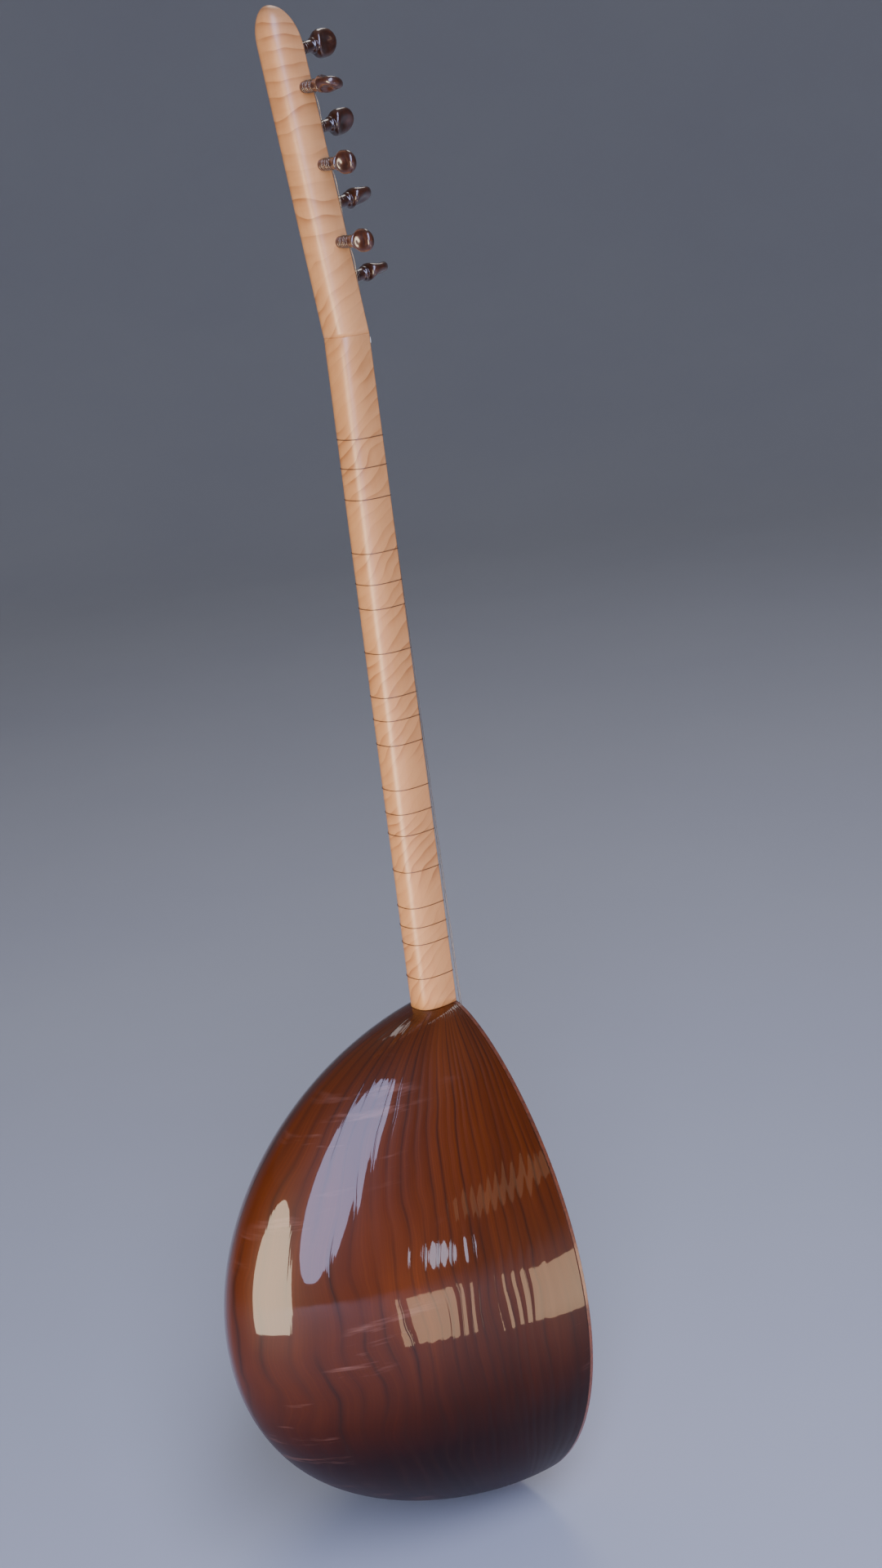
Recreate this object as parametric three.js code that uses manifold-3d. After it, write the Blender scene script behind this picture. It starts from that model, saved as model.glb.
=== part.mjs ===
// Long-necked lute with a carved bowl, seven friction pegs and eighteen tied frets.
// Millimetres. +Z runs up the neck, the soundboard faces -Y and the side pegs point towards -X.
import * as THREE from 'three';
import { mergeVertices } from 'three/addons/utils/BufferGeometryUtils.js';
import Module from 'manifold-3d';

// Driving dimensions
const GAP = 0.3;
const TAIL_Z = 7;
const BOWL = { length: 420, width: 253, depth: 236, wall: 6, rim: 3.5, power: 1.66 };
const NECK = { length: 511, width: [30, 31.2], depth: [29, 24], power: 3 };
const HEAD = { length: 227, bend: 6.8, taper: 0.95, front_round: 34, back_round: 22, side_round: 27 };
const BOARD = { thickness: 3.2, plank: 190 };
const TENON = { width: 18, depth: 16, length: 36, from_front: 7 };
const NUT = { below_bend: 5, width: 29, length: 4, proud: 1.05, sunk: 2.7 };
const BRIDGE = { above_tail: 62, width: 56, length: 5, height: 8.2 };
const STRING_R = 0.25;
const STRING_SPREAD = 1.25;
const TAIL_PITCH = 3.8;
const PEG = { inner: 18, shaft_r: 4.1, tip_r: 3.6, clearance: 0.08, side_depth: 7.5, collar_top: 19.4 };
// Pegs from the tip of the head down: distance above the bend, string lane at the nut, and the thumb piece's
// turn and size
const PEGS = [
  { at: 195, lane: 11.4, turn: 5, thumb: 1 },
  { at: 171, lane: -1.6, turn: 65, thumb: 0.9, side: true },
  { at: 142, lane: 9.8, turn: 25, thumb: 1 },
  { at: 119, lane: -9.7, turn: 0, thumb: 0.82, side: true },
  { at: 90, lane: 8.2, turn: 60, thumb: 1 },
  { at: 66, lane: -11.3, turn: 0, thumb: 0.82, side: true },
  { at: 38, lane: 0, turn: 75, thumb: 1 },
];
const SCALE_LENGTH = 873;
const FRET_ORIGIN = 16;
// Fret places in equal semitones along the scale, with the quarter-tone frets of the instrument
const FRETS = [
  1.15, 1.6, 2.1, 3, 3.55, 4, 4.85, 5.75, 6.25, 6.8, 7.85, 8.45, 9, 10, 11.05, 11.65, 12.2, 13.35,
];
const FRET = { width: 1, thickness: 0.7 };

const JOINT_Z = TAIL_Z + BOWL.length;
const BEND_Z = JOINT_Z + NECK.length;
const NUT_Z = BEND_Z - NUT.below_bend;
const BRIDGE_Z = TAIL_Z + BRIDGE.above_tail;
const NUT_STRING_Y = -(NUT.proud + GAP + STRING_R);
const BRIDGE_STRING_Y = -(BRIDGE.height + GAP + STRING_R);

const wasm = await Module();
wasm.setup();
const { Manifold, Mesh } = wasm;

const vec = (x, y, z) => new THREE.Vector3(x, y, z);
const mix = (range, t) => range[0] + (range[1] - range[0]) * t;

function toSolid(geometry) {
  const bare = geometry.clone();
  bare.deleteAttribute('normal');
  bare.deleteAttribute('uv');
  const merged = mergeVertices(bare, 1e-4);
  const solid = new Manifold(new Mesh({
    numProp: 3,
    vertProperties: Float32Array.from(merged.attributes.position.array),
    triVerts: Uint32Array.from(merged.index.array),
  }));
  return solid;
}

function toGeometry(solid) {
  const mesh = solid.getMesh();
  const geometry = new THREE.BufferGeometry();
  geometry.setAttribute('position', new THREE.BufferAttribute(mesh.vertProperties, 3));
  geometry.setIndex(new THREE.BufferAttribute(mesh.triVerts, 1));
  geometry.computeVertexNormals();
  return geometry;
}

// Closed body through rings that run anticlockwise as seen from the last ring's side
function loft(rings) {
  const position = [];
  const index = [];
  const size = Math.max(...rings.map((ring) => ring.length));
  const starts = rings.map((ring) => {
    const start = position.length / 3;
    ring.forEach((p) => position.push(p.x, p.y, p.z));
    return start;
  });
  for (let i = 0; i + 1 < rings.length; i += 1) {
    const low = rings[i].length > 1;
    const high = rings[i + 1].length > 1;
    for (let j = 0; j < size; j += 1) {
      const k = (j + 1) % size;
      const a = starts[i] + (low ? j : 0);
      const b = starts[i] + (low ? k : 0);
      const c = starts[i + 1] + (high ? k : 0);
      const d = starts[i + 1] + (high ? j : 0);
      if (low) index.push(a, b, c);
      if (high) index.push(a, c, d);
    }
  }
  [[0, true], [rings.length - 1, false]].forEach(([i, flip]) => {
    if (rings[i].length < 2) return;
    const centre = rings[i].reduce((sum, p) => sum.add(p), vec(0, 0, 0)).divideScalar(rings[i].length);
    const c = position.length / 3;
    position.push(centre.x, centre.y, centre.z);
    for (let j = 0; j < size; j += 1) {
      const a = starts[i] + j;
      const b = starts[i] + ((j + 1) % size);
      index.push(c, flip ? b : a, flip ? a : b);
    }
  });
  const geometry = new THREE.BufferGeometry();
  geometry.setAttribute('position', new THREE.Float32BufferAttribute(position, 3));
  geometry.setIndex(index);
  geometry.computeVertexNormals();
  return geometry;
}

function box(x0, x1, y0, y1, z0, z1) {
  const geometry = new THREE.BoxGeometry(x1 - x0, y1 - y0, z1 - z0);
  return geometry.translate((x0 + x1) / 2, (y0 + y1) / 2, (z0 + z1) / 2);
}

// Half of a superellipse behind the front plane, from +X round the back to -X
function backCurve(a, b, power, steps) {
  return Array.from({ length: steps + 1 }, (_, i) => {
    const angle = (Math.PI * i) / steps;
    const c = Math.abs(Math.cos(angle) / a) ** power;
    const s = Math.abs(Math.sin(angle) / b) ** power;
    const r = (c + s) ** (-1 / power);
    return [r * Math.cos(angle), Math.max(0, r * Math.sin(angle))];
  });
}

// Bowl: share of the greatest width or depth at a place along the bowl, 0 at the tail and 1 at the neck
function swell(v, tail, shoulder) {
  const peak = tail / (tail + shoulder);
  const top = peak ** tail * (1 - peak) ** shoulder;
  return (v ** tail * (1 - v) ** shoulder) / top;
}

function bowlHalfWidth(v) {
  return (BOWL.width / 2) * swell(v, 0.54, 0.725) + (NECK.width[0] / 2) * v ** 3;
}

function bowlDepth(v) {
  return BOWL.depth * swell(v, 0.559, 0.574) + NECK.depth[0] * v ** 3;
}

function bowlRing(v, z, inset, steps) {
  const a = bowlHalfWidth(v) - inset;
  const b = bowlDepth(v) - inset;
  return backCurve(a, b, BOWL.power, steps).map(([x, y]) => vec(x, y, z));
}

function bowlOuter() {
  const count = 30;
  const rings = [[vec(0, 0, TAIL_Z)]];
  for (let i = 1; i <= count; i += 1) {
    const v = (1 - Math.cos((Math.PI * i) / count)) / 2;
    rings.push(bowlRing(v, TAIL_Z + v * BOWL.length, 0, 24));
  }
  return toSolid(loft(rings));
}

function bowlInner() {
  const count = 18;
  const from = 0.042;
  const to = 0.885;
  const rings = [];
  for (let i = 0; i <= count; i += 1) {
    const v = from + ((to - from) * (1 - Math.cos((Math.PI * i) / count))) / 2;
    const shifted = v - (BOWL.wall / BOWL.length) * Math.cos(Math.PI * v);
    rings.push(bowlRing(shifted, TAIL_Z + v * BOWL.length, BOWL.wall, 16));
  }
  return toSolid(loft(rings));
}

const bowlBody = bowlOuter();

function bowl() {
  const soundHole = new THREE.CylinderGeometry(7, 7, 60, 20).rotateX(Math.PI / 2).translate(0, 42, TAIL_Z + 10);
  const half = TENON.width / 2 + GAP;
  const front = TENON.from_front - GAP;
  const back = TENON.from_front + TENON.depth + GAP;
  const pocket = box(-half, half, front, back, JOINT_Z - TENON.length - 2 * GAP, JOINT_Z + 5);
  const slab = box(-200, 200, -50, BOWL.rim, -50, 600);
  return toGeometry(bowlBody
    .subtract(bowlInner())
    .subtract(toSolid(soundHole))
    .subtract(toSolid(pocket))
    .subtract(toSolid(slab)));
}

function boardOutline() {
  const count = 40;
  const right = [];
  for (let i = 1; i <= count; i += 1) {
    const v = (1 - Math.cos((Math.PI * i) / count)) / 2;
    right.push(new THREE.Vector2(bowlHalfWidth(v), TAIL_Z + v * BOWL.length));
  }
  const left = right.map((p) => new THREE.Vector2(-p.x, p.y)).reverse();
  return new THREE.Shape([new THREE.Vector2(0, TAIL_Z), ...right, ...left]);
}

function boardPiece(x0, x1) {
  const plate = new THREE.ExtrudeGeometry(boardOutline(), { depth: BOARD.thickness, bevelEnabled: false });
  plate.rotateX(Math.PI / 2).translate(0, BOARD.thickness, 0);
  return toGeometry(toSolid(plate).intersect(toSolid(box(x0, x1, -20, 20, -20, 600))));
}

function neckRing(t, z, grow = 0) {
  const a = mix(NECK.width, t) / 2 + grow;
  const b = mix(NECK.depth, t) + grow;
  return backCurve(a, b, NECK.power, 16).map(([x, y]) => vec(x, y, z));
}

function neck() {
  const shaft = loft([neckRing(0, JOINT_Z + GAP), neckRing(1, BEND_Z)]);
  const half = TENON.width / 2;
  const back = TENON.from_front + TENON.depth;
  const tenon = box(-half, half, TENON.from_front, back, JOINT_Z - TENON.length, JOINT_Z + 2);
  const slot = NUT.length / 2 + GAP;
  const groove = box(-40, 40, -10, NUT.sunk + GAP, NUT_Z - slot, NUT_Z + slot);
  return toGeometry(toSolid(shaft).add(toSolid(tenon)).subtract(toSolid(groove)));
}

// Head: leans back from the bend; its own up and back directions
const LEAN = THREE.MathUtils.degToRad(HEAD.bend);
const HEAD_UP = vec(0, Math.sin(LEAN), Math.cos(LEAN));
const HEAD_BACK = vec(0, Math.cos(LEAN), -Math.sin(LEAN));

function onHead(x, depth, along) {
  return vec(x, 0, BEND_Z).addScaledVector(HEAD_BACK, depth).addScaledVector(HEAD_UP, along);
}

function roundOff(along, reach) {
  const k = Math.max(0, (along - (HEAD.length - reach)) / reach);
  return Math.sqrt(Math.max(0, 1 - k * k));
}

function headSection(along) {
  const share = along / HEAD.length;
  const scale = 1 + (HEAD.taper - 1) * share;
  const depth = NECK.depth[1] * scale;
  const front = 0.55 * depth * (1 - roundOff(along, HEAD.front_round));
  const back = depth - 0.45 * depth * (1 - roundOff(along, HEAD.back_round));
  const half = (NECK.width[1] / 2) * scale * roundOff(along, HEAD.side_round);
  return { half, front, back };
}

function headBody() {
  const base = neckRing(1, BEND_Z + GAP);
  const rings = [base];
  const straight = [8, 60, 120, HEAD.length - HEAD.front_round];
  const stations = [...straight];
  for (let i = 1; i < 9; i += 1) {
    stations.push(HEAD.length - HEAD.front_round * (1 - Math.sin((Math.PI * i) / 18)));
  }
  stations.forEach((along) => {
    const { half, front, back } = headSection(along);
    const unit = backCurve(1, 1, NECK.power, 16);
    rings.push(unit.map(([x, y]) => onHead(x * half, front + (back - front) * y, along)));
  });
  const tip = headSection(HEAD.length);
  rings.push([onHead(0, (tip.front + tip.back) / 2, HEAD.length)]);
  return toSolid(loft(rings));
}

// Frame of a peg: Z points from the head out to the thumb piece, origin on the head's face
function pegFrame(peg) {
  const { half } = headSection(peg.at);
  const out = peg.side ? vec(-1, 0, 0) : HEAD_BACK.clone().negate();
  const base = peg.side ? onHead(-half, PEG.side_depth, peg.at) : onHead(0, 0, peg.at);
  const across = new THREE.Vector3().crossVectors(HEAD_UP, out);
  return new THREE.Matrix4().makeBasis(HEAD_UP.clone(), across.negate(), out).setPosition(base);
}

function pegHole(peg) {
  const grow = PEG.clearance;
  const outer = PEG.shaft_r + grow;
  const points = [[0, -PEG.inner - 1], [PEG.tip_r + grow, -PEG.inner - 1], [outer, 0], [outer, 6], [0, 6]];
  const profile = points.map(([r, z]) => new THREE.Vector2(r, z));
  const drill = new THREE.LatheGeometry(profile, 16).rotateX(Math.PI / 2);
  return toSolid(drill.applyMatrix4(pegFrame(peg)));
}

function headstock() {
  return toGeometry(PEGS.reduce((solid, peg) => solid.subtract(pegHole(peg)), headBody()));
}

// Peg: tapered shaft, collar, waist and a flattened thumb piece; half breadth, half thickness, height
const PEG_PROFILE = [
  [3.6, 3.6, -18], [4.1, 4.1, 0], [4.1, 4.1, 16.8], [5.3, 5.3, 18], [5.5, 5.5, PEG.collar_top], [7.4, 6.4, 20.6],
  [9.2, 6.8, 22.2], [9.8, 6.4, 24.4], [9.9, 5.5, 27.4], [9.7, 5.0, 30.4], [8.7, 4.7, 33.8],
  [6.4, 4.0, 36.5], [3.2, 2.3, 38.4],
];
const PEG_TIP = 39;

// A height along the peg, with what lies beyond the collar made to the thumb piece's own size
function thumbHeight(spec, z) {
  return z > PEG.collar_top ? PEG.collar_top + (z - PEG.collar_top) * spec.thumb : z;
}

function peg(spec) {
  const turn = THREE.MathUtils.degToRad(spec.turn);
  const rings = PEG_PROFILE.map(([broad, thick, z]) => {
    const round = Math.abs(broad - thick) < 0.01;
    const spin = round ? 0 : turn;
    const size = z > PEG.collar_top ? spec.thumb : 1;
    return Array.from({ length: 16 }, (_, i) => {
      const angle = (Math.PI * 2 * i) / 16 - spin;
      const x = size * broad * Math.cos(angle);
      const y = size * thick * Math.sin(angle);
      const across = x * Math.sin(spin) + y * Math.cos(spin);
      return vec(x * Math.cos(spin) - y * Math.sin(spin), across, thumbHeight(spec, z));
    });
  });
  rings.push([vec(0, 0, thumbHeight(spec, PEG_TIP))]);
  return loft(rings).applyMatrix4(pegFrame(spec));
}

const WINDING = { from: 1.4, turns: 5, pitch: 2.2, inner: 4.4, low: 4.6, high: 5.1, string_at: 4 };

function winding(spec) {
  const profile = [new THREE.Vector2(WINDING.inner, WINDING.from)];
  for (let i = 0; i <= WINDING.turns * 2; i += 1) {
    const r = i % 2 ? WINDING.high : WINDING.low;
    profile.push(new THREE.Vector2(r, WINDING.from + (i * WINDING.pitch) / 2));
  }
  profile.push(new THREE.Vector2(WINDING.inner, WINDING.from + WINDING.turns * WINDING.pitch));
  profile.push(profile[0].clone());
  return new THREE.LatheGeometry(profile, 12).rotateX(Math.PI / 2).applyMatrix4(pegFrame(spec));
}

// Taut wire through a row of points
function wire(points, radius, sides = 5) {
  const rings = points.map((p, i) => {
    const before = points[Math.max(0, i - 1)];
    const after = points[Math.min(points.length - 1, i + 1)];
    const tangent = after.clone().sub(before).normalize();
    const first = new THREE.Vector3().crossVectors(tangent, vec(1, 0, 0)).normalize();
    const second = new THREE.Vector3().crossVectors(tangent, first);
    return Array.from({ length: sides }, (_, j) => {
      const angle = (Math.PI * 2 * j) / sides;
      const offset = first.clone().multiplyScalar(radius * Math.cos(angle));
      return offset.addScaledVector(second, radius * Math.sin(angle)).add(p);
    });
  });
  return loft(rings);
}

const STRING_OFF = WINDING.high + GAP + STRING_R + 0.1;

function string(spec, number) {
  const tailX = (PEGS.filter((p) => p.lane < spec.lane).length - (PEGS.length - 1) / 2) * TAIL_PITCH;
  const points = [
    vec(tailX, -HOLDER.front - GAP - STRING_R, 2.6),
    vec(tailX, -HOLDER.front - GAP - STRING_R, TAIL_Z + 1.6),
    vec(tailX, -SADDLE.top - GAP - STRING_R, TAIL_Z + 3.9),
    vec(spec.lane * STRING_SPREAD, BRIDGE_STRING_Y, BRIDGE_Z),
    vec(spec.lane, NUT_STRING_Y, NUT_Z),
  ];
  const { half } = headSection(spec.at);
  if (spec.side) {
    const out = half + WINDING.string_at;
    points.push(onHead(-half - GAP - STRING_R - 0.3, -0.6, spec.at - 15));
    points.push(onHead(-out, PEG.side_depth - STRING_OFF, spec.at));
  } else {
    points.push(onHead(STRING_OFF, -WINDING.string_at, spec.at));
  }
  return wire(points, STRING_R);
}

// Small fittings
const SADDLE = { half: 17, top: 2.3, from: 2.4, to: 5.4 };
const HOLDER = { half: 15, front: 3, back: 12, height: 10 };

function stringHolder() {
  const block = box(-HOLDER.half, HOLDER.half, -HOLDER.front, HOLDER.back, 0, HOLDER.height);
  const keepOut = box(-60, 60, -20, BOWL.rim + GAP, TAIL_Z + 1 - GAP, 60);
  const board = boardPiece(-200, 200).translate(0, 0, -GAP);
  return toGeometry(toSolid(block)
    .subtract(bowlBody.translate([0, 0, -GAP]))
    .subtract(toSolid(board))
    .subtract(toSolid(keepOut)));
}

function bridge() {
  const half = BRIDGE.width / 2;
  const shape = new THREE.Shape();
  shape.moveTo(-half, GAP);
  shape.lineTo(-half, 3.4);
  shape.quadraticCurveTo(-half + 2, BRIDGE.height, -half + 9, BRIDGE.height);
  shape.lineTo(half - 9, BRIDGE.height);
  shape.quadraticCurveTo(half - 2, BRIDGE.height, half, 3.4);
  shape.lineTo(half, GAP);
  [1, -1].forEach((side) => {
    shape.lineTo(side > 0 ? 24 : -5, GAP);
    shape.quadraticCurveTo(side * 14.5, 7.5, side > 0 ? 5 : -24, GAP);
  });
  shape.closePath();
  const plate = new THREE.ExtrudeGeometry(shape, { depth: BRIDGE.length, bevelEnabled: false, curveSegments: 6 });
  return plate.translate(0, 0, -BRIDGE.length / 2).rotateZ(Math.PI).translate(0, 0, BRIDGE_Z);
}

function brace(above) {
  const reach = bowlHalfWidth(above / BOWL.length) - BOWL.wall - 7;
  const y0 = BOARD.thickness + GAP;
  return box(-reach, reach, y0, y0 + 7, TAIL_Z + above - 3.5, TAIL_Z + above + 3.5);
}

function fret(semitones) {
  const along = FRET_ORIGIN + SCALE_LENGTH * (1 - 2 ** (-semitones / 12));
  const z = BEND_Z - along;
  const t = 1 - along / NECK.length;
  const band = (grow) => {
    const low = [-FRET.width / 2, FRET.width / 2].map((dz) => {
      const curve = neckRing(t + dz / NECK.length, z + dz, grow);
      const edge = curve[0].x;
      return [...curve, vec(-edge, -grow, z + dz), vec(edge, -grow, z + dz)];
    });
    return toSolid(loft(low));
  };
  const hollow = band(GAP).scale([1, 1, 3]).translate([0, 0, -2 * z]);
  return toGeometry(band(GAP + FRET.thickness).subtract(hollow));
}

// Assembly
const saz = new THREE.Group();
saz.name = 'baglama';

function add(name, geometry, color, roughness, metalness = 0) {
  const mesh = new THREE.Mesh(geometry, new THREE.MeshStandardMaterial({ color, roughness, metalness }));
  mesh.name = name;
  saz.add(mesh);
}

const plankEdge = BOARD.plank / 2;
add('bowl', bowl(), 0x8a3d1c, 0.15);
add('soundboard', boardPiece(-plankEdge + GAP / 2, plankEdge - GAP / 2), 0xd9b47c, 0.35);
add('board_wing_bass', boardPiece(-200, -plankEdge - GAP / 2), 0x6b3217, 0.3);
add('board_wing_treble', boardPiece(plankEdge + GAP / 2, 200), 0x6b3217, 0.3);
add('brace_lower', brace(150), 0xd0b088, 0.7);
add('brace_upper', brace(290), 0xd0b088, 0.7);
add('neck', neck(), 0xd2a679, 0.35);
add('headstock', headstock(), 0xd2a679, 0.35);
const nutHalf = NUT.width / 2;
add('nut', box(-nutHalf, nutHalf, -NUT.proud, NUT.sunk, NUT_Z - NUT.length / 2, NUT_Z + NUT.length / 2), 0xe8dcc0, 0.4);
add('bridge', bridge(), 0xb98a58, 0.5);
add('tail_saddle', box(-SADDLE.half, SADDLE.half, -SADDLE.top, -GAP, TAIL_Z + SADDLE.from, TAIL_Z + SADDLE.to),
  0x3a1c10, 0.4);
add('string_holder', stringHolder(), 0x5a2412, 0.3);
PEGS.forEach((spec, i) => {
  add(`peg_${i + 1}`, peg(spec), 0x4a1c10, 0.2);
  add(`winding_${i + 1}`, winding(spec), 0xb8a890, 0.35, 0.8);
  add(`string_${i + 1}`, string(spec), 0xb8b0a0, 0.3, 0.9);
});
FRETS.forEach((semitones, i) => {
  add(`fret_${i + 1}`, fret(semitones), 0x4a3020, 0.6);
});

export default saz;
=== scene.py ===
import math

import bmesh
import bpy
from mathutils import Matrix, Vector, noise


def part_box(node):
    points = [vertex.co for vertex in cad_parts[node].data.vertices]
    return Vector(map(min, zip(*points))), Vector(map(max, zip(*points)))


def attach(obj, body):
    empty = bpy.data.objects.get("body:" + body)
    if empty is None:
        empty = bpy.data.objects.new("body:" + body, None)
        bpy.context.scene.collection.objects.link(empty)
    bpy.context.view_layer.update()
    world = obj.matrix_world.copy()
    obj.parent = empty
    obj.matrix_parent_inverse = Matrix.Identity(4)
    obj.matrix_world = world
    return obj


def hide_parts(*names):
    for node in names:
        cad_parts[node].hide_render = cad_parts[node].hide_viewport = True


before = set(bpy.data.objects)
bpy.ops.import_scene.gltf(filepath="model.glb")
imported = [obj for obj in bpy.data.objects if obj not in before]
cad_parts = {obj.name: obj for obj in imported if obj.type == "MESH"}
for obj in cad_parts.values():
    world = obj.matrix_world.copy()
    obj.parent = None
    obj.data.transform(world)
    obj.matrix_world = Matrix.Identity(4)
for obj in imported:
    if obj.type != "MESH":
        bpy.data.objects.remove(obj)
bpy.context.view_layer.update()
MM = 0.001
BODY = "lute_body"

# ---------------------------------------------------------------- dimensions, millimetres
TAIL_Z = 7.0
BOWL_L, BOWL_W, BOWL_D, BOWL_RIM, BOWL_POWER = 420.0, 253.0, 236.0, 3.5, 1.66
NECK_L, NECK_W, NECK_D, NECK_POWER = 511.0, (30.0, 31.2), (29.0, 24.0), 3.0
# the crown stops 0.05 mm inside the CAD's, so that it keeps within its box
HEAD_L, HEAD_BEND, HEAD_TAPER = 226.95, 6.8, 0.95
HEAD_FRONT_ROUND, HEAD_BACK_ROUND, HEAD_SIDE_ROUND = 34.0, 22.0, 27.0
BOARD_T, PLANK_W = 3.2, 190.0
JOINT_Z = TAIL_Z + BOWL_L
BEND_Z = JOINT_Z + NECK_L
NUT_Z = BEND_Z - 5.0
BRIDGE_Z = TAIL_Z + 62.0
BRIDGE_H = 8.2
BRIDGE_W = 56.0
STRING_SPREAD = 1.25
STRING_R = 0.22
PEG_DEPTH = 7.5
PEG_SHAFT_R = 4.1
COLLAR_TOP = 19.4
PEGS = [
    dict(at=195, lane=11.4, turn=5, thumb=1.0, side=False),
    dict(at=171, lane=-1.6, turn=65, thumb=0.9, side=True),
    dict(at=142, lane=9.8, turn=25, thumb=1.0, side=False),
    dict(at=119, lane=-9.7, turn=0, thumb=0.82, side=True),
    dict(at=90, lane=8.2, turn=60, thumb=1.0, side=False),
    dict(at=66, lane=-11.3, turn=0, thumb=0.82, side=True),
    dict(at=38, lane=0.0, turn=75, thumb=1.0, side=False),
]


# ---------------------------------------------------------------- small maths
def mix(a, b, t):
    return a + (b - a) * t


def clamp(v, low=0.0, high=1.0):
    return max(low, min(high, v))


def smooth(v, low, high):
    t = clamp((v - low) / (high - low))
    return t * t * (3 - 2 * t)


def swell(v, tail, shoulder):
    v = clamp(v)
    peak = tail / (tail + shoulder)
    return v ** tail * (1 - v) ** shoulder / (peak ** tail * (1 - peak) ** shoulder)


def bowl_half(v):
    return BOWL_W / 2 * swell(v, 0.54, 0.725) + NECK_W[0] / 2 * v ** 3


def bowl_depth(v):
    return BOWL_D * swell(v, 0.559, 0.574) + NECK_D[0] * v ** 3


def super_r(angle, a, b, power):
    c = abs(math.cos(angle) / a) ** power
    s = abs(math.sin(angle) / b) ** power
    return (c + s) ** (-1 / power)


def d_ring(a, b, steps, round_r):
    """A neck section: flat front at y 0, rounded back, small radii on the two front corners."""
    pts = []
    for k in range(4):
        t = math.radians(30 * k)
        pts.append((a - round_r + round_r * math.sin(t), round_r - round_r * math.cos(t)))
    start = math.atan2(round_r, a) + 0.02
    for i in range(steps + 1):
        ang = mix(start, math.pi - start, i / steps)
        r = super_r(ang, a, b, NECK_POWER)
        pts.append((r * math.cos(ang), r * math.sin(ang)))
    for k in range(4):
        x, y = pts[3 - k]
        pts.append((-x, y))
    return pts


# ---------------------------------------------------------------- mesh helpers
instrument = bpy.data.collections.new("instrument")
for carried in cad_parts.values():
    instrument.objects.link(carried)


def to_object(name, verts, faces, smooth_faces=True, body=BODY):
    mesh = bpy.data.meshes.new(name)
    mesh.from_pydata([tuple(c * MM for c in v) for v in verts], [], faces)
    bm = bmesh.new()
    bm.from_mesh(mesh)
    bmesh.ops.recalc_face_normals(bm, faces=bm.faces)
    bm.to_mesh(mesh)
    bm.free()
    for p in mesh.polygons:
        p.use_smooth = smooth_faces
    obj = bpy.data.objects.new(name, mesh)
    bpy.context.collection.objects.link(obj)
    if body:
        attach(obj, body)
        instrument.objects.link(obj)
    return obj


def loft(rings, close_ends=True):
    verts, faces, starts = [], [], []
    size = max(len(r) for r in rings)
    for r in rings:
        starts.append(len(verts))
        verts.extend(tuple(p) for p in r)
    for i in range(len(rings) - 1):
        low, high = len(rings[i]) > 1, len(rings[i + 1]) > 1
        for j in range(size):
            k = (j + 1) % size
            a, b = starts[i] + (j if low else 0), starts[i] + (k if low else 0)
            c, d = starts[i + 1] + (k if high else 0), starts[i + 1] + (j if high else 0)
            if low and high:
                faces.append((a, b, c, d))
            elif low:
                faces.append((a, b, c))
            elif high:
                faces.append((a, c, d))
    if close_ends:
        for i in (0, len(rings) - 1):
            if len(rings[i]) > 1:
                ring = [starts[i] + j for j in range(size)]
                faces.append(tuple(ring if i else ring[::-1]))
    return verts, faces


def frames_along(points, closed=False):
    """Points with two directions across the path that don't twist."""
    count = len(points)
    pts = [Vector(p) for p in points]
    normal = None
    out = []
    for i, p in enumerate(pts):
        before = pts[(i - 1) % count] if closed or i else pts[0]
        after = pts[(i + 1) % count] if closed or i + 1 < count else pts[-1]
        tangent = (after - before).normalized()
        if normal is None:
            ref = Vector((1, 0, 0)) if abs(tangent.x) < 0.8 else Vector((0, 0, 1))
            normal = tangent.cross(ref).normalized()
        normal = (normal - tangent * normal.dot(tangent)).normalized()
        out.append((p, normal.copy(), tangent.cross(normal)))
    return out


def sweep(points, radius, sides=10, closed=False):
    rings = []
    for p, n, b in frames_along(points, closed):
        ring = []
        for j in range(sides):
            t = 2 * math.pi * j / sides
            ring.append(p + n * (radius * math.cos(t)) + b * (radius * math.sin(t)))
        rings.append(ring)
    if closed:
        rings.append(rings[0])
        verts, faces = loft(rings, close_ends=False)
        base = (len(rings) - 1) * sides
        faces = [tuple(v - base if v >= base else v for v in f) for f in faces]
        return verts[:base], faces
    return loft(rings)


def bevel(obj, width, segments=2, angle=35):
    mod = obj.modifiers.new("edge", "BEVEL")
    mod.width = width * MM
    mod.segments = segments
    mod.limit_method = "ANGLE"
    mod.angle_limit = math.radians(angle)
    mod.harden_normals = False


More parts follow.
